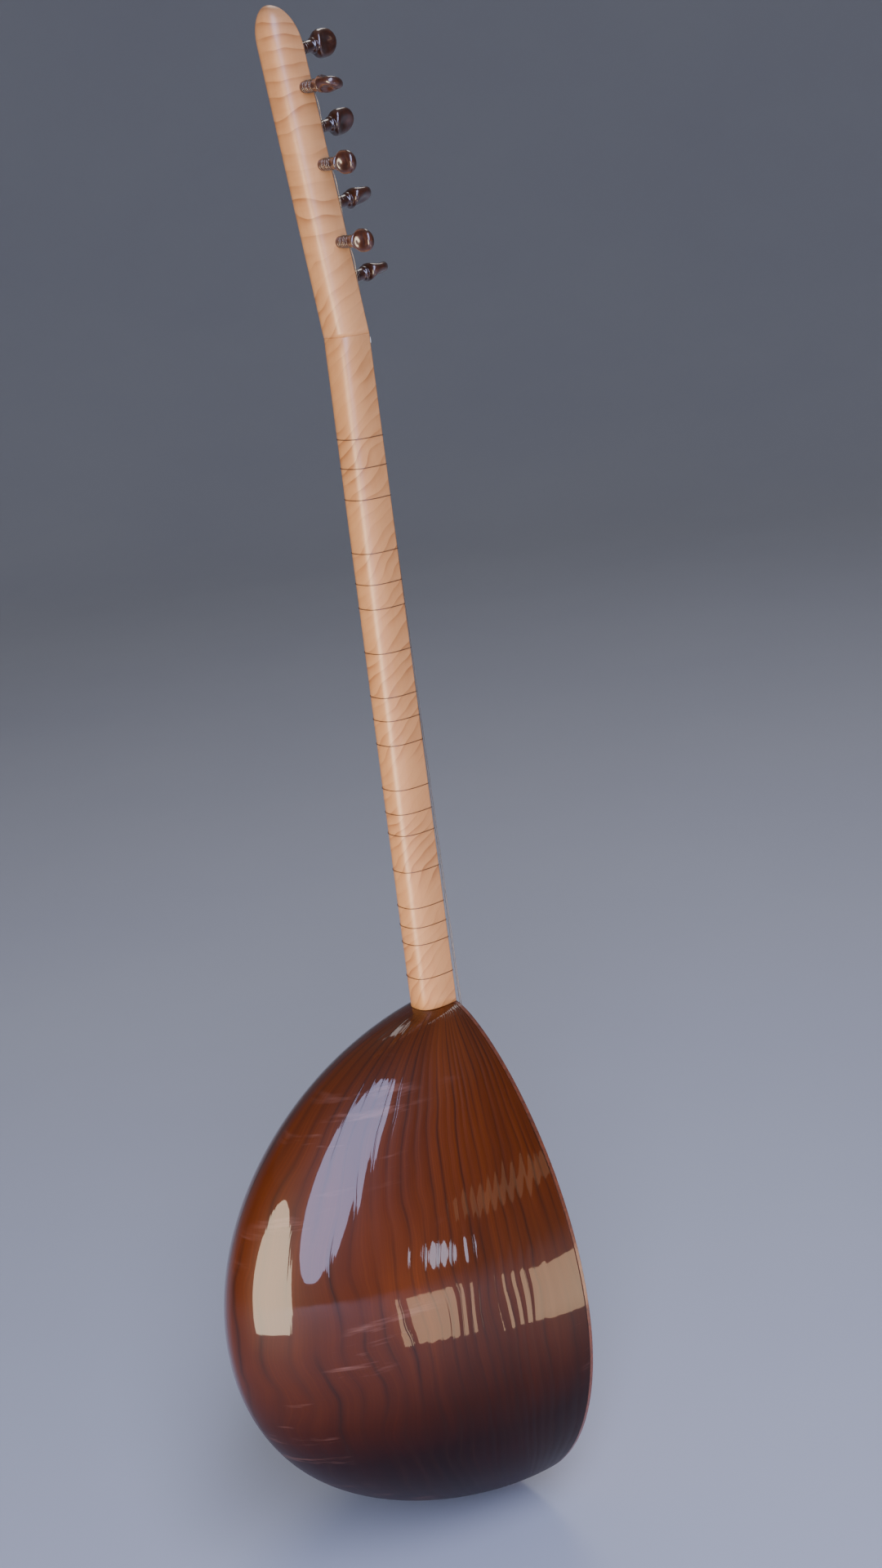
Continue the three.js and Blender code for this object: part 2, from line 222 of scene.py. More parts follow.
# ---------------------------------------------------------------- material helpers
class Graph:
    """Thin helper round one material's node tree."""

    def __init__(self, name):
        self.mat = bpy.data.materials.new(name)
        self.mat.use_nodes = True
        self.nt = self.mat.node_tree
        self.bsdf = self.nt.nodes["Principled BSDF"]

    def link(self, value, socket):
        if isinstance(value, bpy.types.NodeSocket):
            self.nt.links.new(value, socket)
        else:
            socket.default_value = value

    def node(self, kind, out=0, inputs=None, **props):
        n = self.nt.nodes.new(kind)
        for key, value in props.items():
            setattr(n, key, value)
        for key, value in (inputs or {}).items():
            self.link(value, n.inputs[key])
        return n.outputs[out]

    def coords(self):
        return self.node("ShaderNodeTexCoord", out="Object")

    def attribute(self, name):
        return self.node("ShaderNodeAttribute", out="Vector", attribute_name=name)

    def scale(self, vector, scale):
        return self.node("ShaderNodeMapping", inputs={"Vector": vector, "Scale": scale})

    def noise(self, vector, scale, detail=3.0, rough=0.5, distortion=0.0):
        inputs = {"Vector": vector, "Scale": scale, "Detail": detail, "Roughness": rough}
        return self.node("ShaderNodeTexNoise", inputs={**inputs, "Distortion": distortion})

    def math(self, op, a, b=0.0):
        return self.node("ShaderNodeMath", operation=op, inputs={0: a, 1: b})

    def split(self, vector, axis):
        return self.node("ShaderNodeSeparateXYZ", out=axis, inputs={"Vector": vector})

    def merge(self, x, y, z):
        return self.node("ShaderNodeCombineXYZ", inputs={"X": x, "Y": y, "Z": z})

    def ramp(self, fac, stops, mode="LINEAR"):
        n = self.nt.nodes.new("ShaderNodeValToRGB")
        n.color_ramp.interpolation = mode
        while len(n.color_ramp.elements) < len(stops):
            n.color_ramp.elements.new(0.5)
        for element, (at, value) in zip(n.color_ramp.elements, stops):
            element.position = at
            element.color = (*value, 1) if isinstance(value, tuple) else (value, value, value, 1)
        self.link(fac, n.inputs["Fac"])
        return n.outputs["Color"]

    def blend(self, fac, a, b, mode="MIX"):
        n = self.nt.nodes.new("ShaderNodeMix")
        n.data_type = "RGBA"
        n.blend_type = mode
        self.link(fac, n.inputs["Factor"])
        self.link((*a, 1) if isinstance(a, tuple) else a, n.inputs[6])
        self.link((*b, 1) if isinstance(b, tuple) else b, n.inputs[7])
        return n.outputs[2]

    def bump(self, height, distance, strength=1.0, normal=None):
        inputs = {"Height": height, "Distance": distance, "Strength": strength}
        if normal is not None:
            inputs["Normal"] = normal
        return self.node("ShaderNodeBump", inputs=inputs)

    def tint(self, fac, base, color):
        """The base multiplied by a colour, as far as fac says."""
        return self.blend(fac, base, self.blend(1.0, base, color, "MULTIPLY"))

    def set(self, **values):
        for key, value in values.items():
            self.link(value, self.bsdf.inputs[key.replace("_", " ")])


def dress(obj, mat):
    obj.data.materials.clear()
    obj.data.materials.append(mat)


def dress_node(name, mat):
    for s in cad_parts[name].material_slots:
        s.material = mat


# ---------------------------------------------------------------- camera, floor, lights
CAMERA_AT = (-1.24466, 0.97185, 1.06198)
CAMERA_HEADING, CAMERA_TILT, CAMERA_ROLL = -128.657, 73.633, -7.391


def spin(degrees, axis):
    return Matrix.Rotation(math.radians(degrees), 4, axis)


cam_data = bpy.data.cameras.new("camera")
cam_data.sensor_width = 36
cam_data.lens = 50
cam = bpy.data.objects.new("camera", cam_data)
bpy.context.collection.objects.link(cam)
turn = spin(CAMERA_HEADING, "Z") @ spin(CAMERA_TILT, "X") @ spin(CAMERA_ROLL, "Z")
cam.matrix_world = Matrix.Translation(CAMERA_AT) @ turn
bpy.context.scene.camera = cam


LIT_POINT = Vector((-0.04, 0.1, 0.26))
BLUE_SKY, PALE_SKY, LAMP_GLOW = (0.53, 0.61, 1.0), (0.66, 0.76, 1.0), (1.0, 0.83, 0.60)
WARM_WALL, SHADED_WALL, CEILING = (1.0, 0.68, 0.41), (1.0, 0.72, 0.46), (1.0, 0.96, 0.93)


def softbox(name, azimuth, elevation, distance, width, height, strength, color,
            shape="RECTANGLE", roll=0.0, spare_floor=False):
    """A panel light, metres, seen from the bowl in that direction: azimuth 0 is +X and 90 is +Y.
    One that spares the floor lights the instrument only."""
    az, el = math.radians(azimuth), math.radians(elevation)
    way = Vector((math.cos(el) * math.cos(az), math.cos(el) * math.sin(az), math.sin(el)))
    data = bpy.data.lights.new(name, "AREA")
    data.shape = shape
    data.size, data.size_y = width, height
    data.energy = strength * width * height * math.pi
    data.color = color
    obj = bpy.data.objects.new(name, data)
    obj.location = LIT_POINT + way * distance
    facing = way.to_track_quat("Z", "Y").to_matrix().to_4x4()
    obj.rotation_euler = (facing @ spin(roll, "Z")).to_euler()
    obj.visible_camera = False
    if spare_floor:
        obj.light_linking.receiver_collection = instrument
    bpy.context.collection.objects.link(obj)


softbox("window", 148, 37, 2.3, 0.95, 3.4, 9.0, BLUE_SKY, "ELLIPSE", -22)
softbox("window_small", 176, 2, 1.6, 0.2, 0.22, 9.0, PALE_SKY, "ELLIPSE")
softbox("lamp_left", 108, 3, 0.95, 0.52, 1.25, 12.5, LAMP_GLOW, "ELLIPSE", spare_floor=True)
softbox("panel_front", 170, -17, 0.62, 0.17, 0.2, 7.2, WARM_WALL, spare_floor=True)
softbox("panel_right", 209, -20, 0.58, 0.26, 0.2, 7.2, WARM_WALL, spare_floor=True)
softbox("band_right", 200, 12, 1.5, 0.8, 0.16, 1.2, SHADED_WALL, spare_floor=True)
softbox("high_front", 302, 62, 3.2, 1.0, 1.0, 4.6, CEILING)

world = bpy.data.worlds.new("studio")
world.use_nodes = True
world.node_tree.nodes["Background"].inputs["Color"].default_value = (0.80, 0.81, 0.84, 1)
world.node_tree.nodes["Background"].inputs["Strength"].default_value = 0.22
bpy.context.scene.world = world


# metres
FLOOR_FLAT, SWEEP, WALL_TOP = 4.2, 3.6, 7.0
SWEEP_STEPS, FLOOR_SIDES = 18, 96


def make_floor():
    """A round floor that sweeps up into a backdrop, so no horizon shows."""
    profile = [(r, 0.0) for r in (0.02, 0.5, 1.2, 2.5, FLOOR_FLAT)]
    for k in range(1, SWEEP_STEPS + 1):
        t = math.pi / 2 * k / SWEEP_STEPS
        profile.append((FLOOR_FLAT + SWEEP * math.sin(t), SWEEP * (1 - math.cos(t))))
    profile.append((FLOOR_FLAT + SWEEP, WALL_TOP))
    turns = [2 * math.pi * j / FLOOR_SIDES for j in range(FLOOR_SIDES)]
    rings = []
    for r, high in profile:
        rings.append([(r * math.cos(t) / MM, r * math.sin(t) / MM, high / MM) for t in turns])
    verts, faces = loft(rings, close_ends=False)
    faces.append(tuple(range(FLOOR_SIDES)))
    floor = to_object("floor", verts, faces, body=None)
    g = Graph("floor_paint")
    tone = g.noise(g.coords(), 1.1, 4, 0.6)
    paint = g.ramp(tone, [(0.3, (0.60, 0.60, 0.62)), (0.7, (0.63, 0.63, 0.64))])
    g.set(Base_Color=paint, Roughness=0.8, Specular_IOR_Level=0.2)
    dress(floor, g.mat)


make_floor()


# ---------------------------------------------------------------- materials
def bowl_lacquer():
    g = Graph("carved_bowl_lacquer")
    fig = g.attribute("figure")
    u, ang, z = (g.split(fig, i) for i in range(3))
    slow = g.noise(g.merge(g.math("MULTIPLY", u, 0.16), ang, g.math("MULTIPLY", z, 5.0)), 1.0, 3, 0.55)
    deep, middle, warm = (0.042, 0.0080, 0.0011), (0.069, 0.0138, 0.0015), (0.103, 0.0222, 0.0022)
    base = g.ramp(slow, [(0.25, deep), (0.5, middle), (0.75, warm)])
    # darker and redder towards the tail: painted shade, standing in for a dark floor reflected in the lower
    # bowl
    base = g.tint(g.ramp(z, [(0.12, 1.0), (0.27, 0.0)]), base, (0.13, 0.05, 0.06))
    # fine streaks of figure
    streak = g.noise(g.merge(g.math("MULTIPLY", u, 5.0), 0.0, g.math("MULTIPLY", z, 3.0)), 1.0, 4, 0.6, 0.2)
    fine = g.ramp(streak, [(0.36, 0.0), (0.5, 0.5), (0.64, 0.0)])
    base = g.tint(fine, base, (0.62, 0.50, 0.44))
    # main growth lines on whole numbers of the figure coordinate
    away = g.math("PINGPONG", u, 0.5)
    uneven = g.noise(g.merge(g.math("MULTIPLY", u, 0.9), 0.0, g.math("MULTIPLY", z, 11.0)), 1.0, 2, 0.5)
    strength = g.ramp(uneven, [(0.36, 0.08), (0.66, 0.85)])
    line = g.ramp(away, [(0.0, 1.0), (0.06, 0.62), (0.17, 0.2), (0.3, 0.0)], "EASE")
    line = g.math("MULTIPLY", line, g.math("MULTIPLY", strength, g.ramp(ang, [(0.40, 0.45), (0.60, 1.0)])))
    base = g.blend(line, base, (0.012, 0.0032, 0.0016))
    # short pores
    pore = g.noise(g.merge(g.math("MULTIPLY", u, 18.0), 0.0, g.math("MULTIPLY", z, 55.0)), 1.0, 2, 0.6)
    base = g.blend(g.ramp(pore, [(0.62, 0.0), (0.72, 0.35)]), base, (0.018, 0.005, 0.0025))
    # rubbed patches and dry polish in the varnish, in short level strokes
    rub = g.noise(g.scale(g.coords(), (8, 8, 75)), 1.0, 4, 0.7)
    zone = g.noise(g.scale(g.coords(), (7, 7, 9)), 1.0, 2, 0.5)
    strokes = g.ramp(rub, [(0.56, 0.0), (0.66, 1.0)])
    haze = g.math("MULTIPLY", strokes, g.ramp(zone, [(0.56, 0.0), (0.64, 0.32)]))
    base = g.blend(haze, base, (0.20, 0.10, 0.09))
    skin = g.bump(g.noise(g.coords(), 55.0, 2, 0.5), 0.0003, 0.12)
    relief = g.bump(line, 0.0002, 0.4, skin)
    gloss = g.ramp(z, [(0.04, 0.08), (0.16, 0.34), (0.215, 1.0)])
    g.set(Base_Color=base, Roughness=0.42, Specular_IOR_Level=0.12, Coat_Weight=gloss, Coat_Roughness=0.03,
          Coat_IOR=1.42, Normal=relief, Coat_Normal=relief)
    return g.mat


def pale_wood(name, light, dark=(0.25, 0.088, 0.024)):
    """Flamed maple: slanting bands, each sharp along its top edge and fading below,
    over faint long grain."""
    g = Graph(name)
    co = g.coords()
    x, y, z = (g.split(co, i) for i in range(3))
    # bands climb across the back; they lie flatter near the tip of the head
    slant = g.ramp(z, [(0.45, 1.15), (0.90, 1.0), (1.0, 0.62), (1.13, 0.12)])
    across = g.math("ADD", g.math("MULTIPLY", x, -0.65), g.math("MULTIPLY", y, -0.75))
    climb = g.math("SUBTRACT", z, g.math("MULTIPLY", across, slant))
    sway = g.noise(g.scale(co, (16, 16, 22)), 1.0, 2, 0.5)
    phase = g.math("ADD", g.math("MULTIPLY", climb, 92.0), g.math("MULTIPLY", sway, 3.6))
    band = g.math("FRACT", phase)
    edge = [(0.0, 0.0), (0.25, 0.06), (0.70, 0.42), (0.93, 0.9), (0.97, 1.0), (1.0, 0.2)]
    flame = g.ramp(band, edge)
    patch = g.noise(g.scale(co, (22, 22, 20)), 1.0, 2, 0.5)
    flame = g.math("MULTIPLY", flame, g.ramp(patch, [(0.38, 0.10), (0.62, 0.80)]))
    base = g.blend(flame, light, dark)
    # a second, finer ripple
    along = g.merge(g.math("MULTIPLY", climb, 210.0), g.math("MULTIPLY", across, 45.0), 0.0)
    ripple = g.noise(along, 1.0, 3, 0.6)
    base = g.tint(g.ramp(ripple, [(0.42, 0.0), (0.70, 0.32)]), base, (0.86, 0.72, 0.58))
    grain = g.noise(g.scale(co, (620, 620, 22)), 1.0, 3, 0.6)
    base = g.tint(g.ramp(grain, [(0.45, 0.0), (0.75, 0.25)]), base, (0.88, 0.78, 0.68))
    wide = g.noise(g.scale(co, (14, 14, 3)), 1.0, 2, 0.5)
    base = g.tint(g.ramp(wide, [(0.4, 0.0), (0.7, 0.35)]), base, (1.0, 0.84, 0.68))
    g.set(Base_Color=base, Roughness=0.38, Coat_Weight=0.3, Coat_Roughness=0.3, Coat_IOR=1.5,
          Normal=g.bump(grain, 0.00008, 0.4))
    return g.mat


def peg_wood():
    g = Graph("peg_rosewood")
    co = g.coords()
    grain = g.noise(g.scale(co, (160, 160, 160)), 1.0, 4, 0.6, 1.2)
    streak = g.noise(g.scale(co, (420, 420, 60)), 1.0, 3, 0.6)
    deep, middle, warm = (0.020, 0.005, 0.0022), (0.055, 0.0145, 0.0050), (0.090, 0.026, 0.0085)
    base = g.ramp(grain, [(0.3, deep), (0.6, middle), (0.8, warm)])
    base = g.blend(g.ramp(streak, [(0.5, 0.0), (0.7, 0.5)]), base, (0.02, 0.006, 0.004))
    g.set(Base_Color=base, Roughness=0.3, Coat_Weight=1.0, Coat_Roughness=0.06, Coat_IOR=1.5,
          Normal=g.bump(streak, 0.0001, 0.3))
    return g.mat


def wire_metal():
    g = Graph("string_steel")
    tone = g.noise(g.coords(), 900.0, 2, 0.5)
    metal = g.ramp(tone, [(0.3, (0.30, 0.24, 0.18)), (0.7, (0.48, 0.40, 0.31))])
    g.set(Base_Color=metal, Metallic=1.0, Roughness=0.34)
    return g.mat


def nylon():
    g = Graph("fret_nylon")
    tone = g.noise(g.coords(), 500.0, 2, 0.5)
    cord = g.ramp(tone, [(0.3, (0.055, 0.026, 0.013)), (0.7, (0.10, 0.050, 0.025))])
    g.set(Base_Color=cord, Roughness=0.35, Coat_Weight=0.3, Coat_Roughness=0.2)
    return g.mat


def spruce():
    g = Graph("spruce_board")
    co = g.coords()
    x, z = g.split(co, 0), g.split(co, 2)
    wander = g.noise(g.scale(co, (6, 1, 2.2)), 1.0, 2, 0.5)
    ring = g.math("ADD", g.math("MULTIPLY", x, 560.0), g.math("MULTIPLY", wander, 9.0))
    saw = g.math("FRACT", ring)
    late = g.ramp(saw, [(0.0, 0.0), (0.55, 0.10), (0.86, 0.62), (0.97, 1.0), (1.0, 0.0)])
    silk = g.noise(g.scale(co, (70, 1, 420)), 1.0, 3, 0.6)
    base = g.blend(late, (0.70, 0.47, 0.22), (0.47, 0.26, 0.095))
    base = g.blend(g.ramp(silk, [(0.5, 0.0), (0.72, 0.3)]), base, (0.80, 0.60, 0.33))
    wide = g.noise(g.scale(co, (12, 1, 3)), 1.0, 2, 0.5)
    base = g.tint(g.ramp(wide, [(0.35, 0.0), (0.7, 0.4)]), base, (0.92, 0.80, 0.66))
    g.set(Base_Color=base, Roughness=0.34, Coat_Weight=0.6, Coat_Roughness=0.12,
          Normal=g.bump(late, 0.00006, 0.4))
    return g.mat


def plain_wood(name, light, dark, coat, scale=(240, 240, 14), rough=0.4):
    g = Graph(name)
    co = g.coords()
    grain = g.noise(g.scale(co, scale), 1.0, 4, 0.62, 0.5)
    base = g.ramp(grain, [(0.3, dark), (0.7, light)])
    pores = g.noise(g.scale(co, tuple(s * 4 for s in scale)), 1.0, 2, 0.6)
    base = g.blend(g.ramp(pores, [(0.6, 0.0), (0.75, 0.5)]), base, tuple(c * 0.45 for c in dark))
    g.set(Base_Color=base, Roughness=rough, Coat_Weight=coat, Coat_Roughness=0.12,
          Normal=g.bump(grain, 0.00012, 0.4))
    return g.mat


def bone():
    g = Graph("bone")
    co = g.coords()
    tone = g.noise(g.scale(co, (300, 300, 60)), 1.0, 3, 0.6)
    ivory = g.ramp(tone, [(0.3, (0.72, 0.62, 0.42)), (0.7, (0.82, 0.75, 0.58))])
    g.set(Base_Color=ivory, Roughness=0.3, Subsurface_Weight=0.1, Coat_Weight=0.4,
          Coat_Roughness=0.15, Normal=g.bump(tone, 0.00008, 0.3))
    return g.mat


MAT = {
    "bowl": bowl_lacquer(),
    "neck": pale_wood("neck_maple", light=(0.50, 0.240, 0.090)),
    "head": pale_wood("head_maple", light=(0.54, 0.27, 0.108)),
    "peg": peg_wood(),
    "wire": wire_metal(),
    "nylon": nylon(),
    "spruce": spruce(),
    "bone": bone(),
    "wing": plain_wood("wing_walnut", (0.20, 0.062, 0.024), (0.085, 0.025, 0.012), coat=1.0,
                       rough=0.35),
    "brace": plain_wood("brace_spruce", (0.62, 0.45, 0.26), (0.48, 0.33, 0.18),
                        scale=(20, 400, 400), coat=0.0),
    "bridge": plain_wood("bridge_maple", (0.52, 0.30, 0.14), (0.36, 0.19, 0.08),
                         scale=(20, 300, 300), coat=0.1),
    "dark": plain_wood("dark_rosewood", (0.16, 0.045, 0.02), (0.06, 0.018, 0.01),
                       scale=(30, 300, 300), coat=0.6),
}


# ---------------------------------------------------------------- bowl
FLUTES = 46
ROWS, COLUMNS = 190, 520
BOWL_INSET, BOWL_SHELL = 0.15, 5.0


def figure_at(ang, z):
    """Growth-line coordinate: one line per whole number, wavering as it climbs."""
    broad = noise.noise(Vector((ang * 1.6, z * 5.0, 3.7)))
    fine = noise.noise(Vector((ang * 4.0, z * 24.0, 9.1)))
    small = noise.noise(Vector((ang * 11.0, z * 70.0, 5.3)))
    return ang / math.pi * FLUTES + 2.2 * broad + 0.42 * fine + 0.10 * small


def relief_at(u, ang, z):
    """How far the surface dips, in millimetres: shallow flutes with a crease on each growth line."""
    crease = 1 - abs(math.sin(math.pi * u))
    deep = mix(0.05, 0.34, smooth(ang, 0.50 * math.pi, 0.72 * math.pi))
    uneven = 0.6 + 0.8 * noise.noise(Vector((round(u) * 3.1, z * 9.0, 1.3)))
    return deep * crease * clamp(uneven, 0.15, 1.3)


def make_bowl():
    verts, faces, fig = [], [], []
    for i in range(ROWS + 1):
        v = 0.5 * (1 - math.cos(math.pi * mix(0.025, 1, i / ROWS)))
        z = TAIL_Z + v * BOWL_L
        a, b = bowl_half(v) - BOWL_INSET, bowl_depth(v) - BOWL_INSET
        fade = smooth(v, 0.0, 0.06) * (1 - smooth(v, 0.96, 1.0))
        rim_x = a * (1 - (BOWL_RIM / b) ** BOWL_POWER) ** (1 / BOWL_POWER)
        start = math.atan2(BOWL_RIM, rim_x)
        for j in range(COLUMNS + 1):
            ang = mix(start, math.pi - start, j / COLUMNS)
            r = super_r(ang, a, b, BOWL_POWER)
            u = figure_at(ang, z * MM)
            edge = smooth(r * math.sin(ang), BOWL_RIM + 0.5, BOWL_RIM + 7)
            r -= fade * relief_at(u, ang, z * MM) * smooth(r, 6, 40) * edge
            verts.append((r * math.cos(ang), r * math.sin(ang), z))
            fig.append((u, ang, z * MM))
    row = COLUMNS + 1
    for i in range(ROWS):
        for j in range(COLUMNS):
            k = i * row + j
            faces.append((k, k + 1, k + row + 1, k + row))
    # tail point and the flat end against the neck
    tail = len(verts)
    verts.append((0, BOWL_RIM, TAIL_Z + 0.02))
    fig.append((FLUTES / 2, math.pi / 2, TAIL_Z * MM))
    for j in range(COLUMNS):
        faces.append((tail, j + 1, j))
    end = len(verts)
    verts.append((0, NECK_D[0] / 2, JOINT_Z))
    fig.append((FLUTES / 2, math.pi / 2, JOINT_Z * MM))
    base = ROWS * row
    for j in range(COLUMNS):
        faces.append((end, base + j, base + j + 1))
    shell = to_object("bowl_shell", verts, faces)
    attr = shell.data.attributes.new("figure", "FLOAT_VECTOR", "POINT")
    for i, value in enumerate(fig):
        attr.data[i].vector = value
    thick = shell.modifiers.new("wall", "SOLIDIFY")
    thick.thickness = BOWL_SHELL * MM
    thick.offset = -1
    thick.use_rim = True
    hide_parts("bowl")
    dress(shell, MAT["bowl"])


make_bowl()


# ---------------------------------------------------------------- neck and head
NECK_SIDES, NECK_ROWS, CROWN_ROWS = 44, 40, 22
LEAN = math.radians(HEAD_BEND)
HEAD_UP = Vector((0, math.sin(LEAN), math.cos(LEAN)))
HEAD_BACK = Vector((0, math.cos(LEAN), -math.sin(LEAN)))


def on_head(x, depth, along):
    return Vector((x, 0, BEND_Z)) + HEAD_BACK * depth + HEAD_UP * along


def make_neck():
    rings = []
    for i in range(NECK_ROWS + 1):
        t = i / NECK_ROWS
        z = mix(JOINT_Z + 0.12, BEND_Z, t)
        ring = d_ring(mix(*NECK_W, t) / 2, mix(*NECK_D, t), NECK_SIDES, 1.0)
        rings.append([(x, y, z) for x, y in ring])
    neck = to_object("neck_shaft", *loft(rings))
    bevel(neck, 0.35, 2, 50)
    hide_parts("neck")
    dress(neck, MAT["neck"])


def round_off(along, reach):
    k = max(0.0, (along - (HEAD_L - reach)) / reach)
    return math.sqrt(max(0.0, 1 - k * k))


def head_section(along):
    scale = 1 + (HEAD_TAPER - 1) * along / HEAD_L
    depth = NECK_D[1] * scale
    front = 0.55 * depth * (1 - round_off(along, HEAD_FRONT_ROUND))
    back = depth - 0.45 * depth * (1 - round_off(along, HEAD_BACK_ROUND))
    half = NECK_W[1] / 2 * scale * round_off(along, HEAD_SIDE_ROUND)
    return half, front, back


def make_head():
    base = d_ring(NECK_W[1] / 2, NECK_D[1], NECK_SIDES, 1.0)
    rings = [[(x, y, BEND_Z + 0.05) for x, y in base]]
    stations = [6, 12, 25, 45, 70, 95, 120, 145, 170, HEAD_L - HEAD_FRONT_ROUND]
    for i in range(1, CROWN_ROWS):
        stations.append(HEAD_L - HEAD_FRONT_ROUND * (1 - math.sin(math.pi / 2 * i / CROWN_ROWS)))
    for along in stations:
        half, front, back = head_section(along)
        corner = min(1.0, half * 0.3, (back - front) * 0.3)
        ring = d_ring(half, back - front, NECK_SIDES, corner)
        rings.append([on_head(x, front + y, along) for x, y in ring])
    _, front, back = head_section(HEAD_L)
    rings.append([on_head(0, (front + back) / 2, HEAD_L)])
    head = to_object("head_block", *loft(rings))
    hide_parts("headstock")
    dress(head, MAT["head"])


make_neck()
make_head()


# ---------------------------------------------------------------- pegs, windings, strings
def peg_frame(peg):
    half, _, _ = head_section(peg["at"])
    if peg["side"]:
        out, base = Vector((-1, 0, 0)), on_head(-half, PEG_DEPTH, peg["at"])
    else:
        out, base = -HEAD_BACK, on_head(0, 0, peg["at"])
    across = -HEAD_UP.cross(out)
    return base, HEAD_UP.copy(), across, out


# half breadth, half thickness, height above the head's face, hollow of the two flats
PEG_PROFILE = [
    (3.6, 3.6, -18, 0), (4.1, 4.1, 0, 0), (4.1, 4.1, 15.9, 0), (4.25, 4.25, 16.6, 0), (4.9, 4.9, 17.2, 0),
    (5.35, 5.35, 17.8, 0), (5.5, 5.5, 18.5, 0), (5.3, 5.3, 19.1, 0), (5.0, 4.9, 19.6, 0),
    (6.1, 5.5, 19.95, 0), (7.5, 6.2, 20.7, 0), (8.6, 6.6, 21.5, 0.03), (9.3, 6.7, 22.5, 0.08),
    (9.7, 6.5, 23.7, 0.22), (9.85, 6.0, 25.2, 0.40), (9.9, 5.4, 27.0, 0.52), (9.8, 4.9, 28.9, 0.55),
    (9.6, 4.7, 30.8, 0.50), (9.2, 4.7, 32.5, 0.40), (8.4, 4.6, 34.2, 0.26), (7.3, 4.3, 35.7, 0.14),
    (5.8, 3.7, 37.0, 0.05), (3.8, 2.7, 38.1, 0), (1.5, 1.1, 38.8, 0),
]
PEG_TIP = 39.0
PEG_SIDES = 44


def make_peg(number, peg):
    base, up, across, out = peg_frame(peg)
    turn_by = math.radians(peg["turn"])
    rings = []
    for broad, thick, high, hollow in PEG_PROFILE:
        size = peg["thumb"] if high > COLLAR_TOP else 1.0
        reach = COLLAR_TOP + (high - COLLAR_TOP) * size if high > COLLAR_TOP else high
        ring = []
        for j in range(PEG_SIDES):
            t = 2 * math.pi * j / PEG_SIDES
            x, y = size * broad * math.cos(t), size * thick * math.sin(t)
            y *= 1 - hollow * math.exp(-1.3 * (x / (0.62 * size * broad)) ** 2)
            a = x * math.cos(turn_by) - y * math.sin(turn_by)
            b = x * math.sin(turn_by) + y * math.cos(turn_by)
            ring.append(base + up * a + across * b + out * reach)
        rings.append(ring)
    rings.append([base + out * (COLLAR_TOP + (PEG_TIP - COLLAR_TOP) * peg["thumb"])])
    obj = to_object(f"peg_turned_{number}", *loft(rings), body=f"peg_{number}_unit")
    sub = obj.modifiers.new("smooth", "SUBSURF")
    sub.levels = sub.render_levels = 1
    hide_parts(f"peg_{number}")
    dress(obj, MAT["peg"])


COIL_R = 0.15
COIL_TURNS, COIL_START, COIL_RISE, COIL_WAVER, STEPS_PER_TURN = 5.2, 1.9, 10.2, 0.3, 28


def make_winding(number, peg):
    base, up, across, out = peg_frame(peg)
    r = PEG_SHAFT_R + COIL_R + 0.03
    steps = int(COIL_TURNS * STEPS_PER_TURN)
    points = []
    for i in range(steps + 1):
        t = i / steps
        ang = 2 * math.pi * COIL_TURNS * t + (math.pi / 2 if peg["side"] else 0)
        high = COIL_START + COIL_RISE * t + COIL_WAVER * math.sin(5 * t * math.pi + number)
        points.append(base + up * (r * math.cos(ang)) + across * (r * math.sin(ang)) + out * high)
    obj = to_object(f"coil_{number}", *sweep(points, COIL_R, 7), body=f"peg_{number}_unit")
    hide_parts(f"winding_{number}")
    dress(obj, MAT["wire"])


HOLDER_FRONT = 3
# a bar from low to high above the tail, its top edge in front of the board
SADDLE = dict(half=17, top=2.3, low=2.4, high=5.4)
SADDLE_Z = TAIL_Z + (SADDLE["low"] + SADDLE["high"]) / 2
NUT = dict(half=14.5, top=1.05, foot=2.7, thick=4.0)
TAIL_STEP = 3.8


def bend_round(points, radius=1.2):
    """The same path with each inner corner cut by a short curve."""
    out = [Vector(points[0])]
    for a, b, c in zip(points, points[1:], points[2:]):
        a, b, c = Vector(a), Vector(b), Vector(c)
        p = b + (a - b).normalized() * min(radius, (a - b).length * 0.4)
        q = b + (c - b).normalized() * min(radius, (c - b).length * 0.4)
        for k in range(5):
            t = k / 4
            out.append(p * (1 - t) ** 2 + b * 2 * t * (1 - t) + q * t * t)
    out.append(Vector(points[-1]))
    return out


def make_string(number, peg):
    rank = sum(1 for p in PEGS if p["lane"] < peg["lane"]) - (len(PEGS) - 1) / 2
    tail_x = rank * TAIL_STEP
    half, _, _ = head_section(peg["at"])
    pts = [
        (tail_x, -HOLDER_FRONT - STRING_R, 2.6),
        (tail_x, -HOLDER_FRONT - STRING_R, TAIL_Z + 1.6),
        (tail_x, -SADDLE["top"] - STRING_R, SADDLE_Z),
        (peg["lane"] * STRING_SPREAD, -(BRIDGE_H + STRING_R - 0.1), BRIDGE_Z),
        (peg["lane"], -(NUT["top"] + STRING_R - 0.1), NUT_Z),
    ]
    reach = PEG_SHAFT_R + 2 * STRING_R + 0.35
    if peg["side"]:
        pts.append(on_head(-half - 0.5, -0.5, peg["at"] - 15))
        pts.append(on_head(-half - 3.2, PEG_DEPTH - reach, peg["at"]))
    else:
        pts.append(on_head(reach, -3.2, peg["at"]))
    obj = to_object(f"wire_{number}", *sweep(bend_round(pts), STRING_R, 8))
    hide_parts(f"string_{number}")
    dress(obj, MAT["wire"])


for n, p in enumerate(PEGS, 1):
    make_peg(n, p)
    make_winding(n, p)
    make_string(n, p)


# ---------------------------------------------------------------- frets
FRET_COUNT, FRET_R, FRET_GAP = 18, 0.25, 0.06


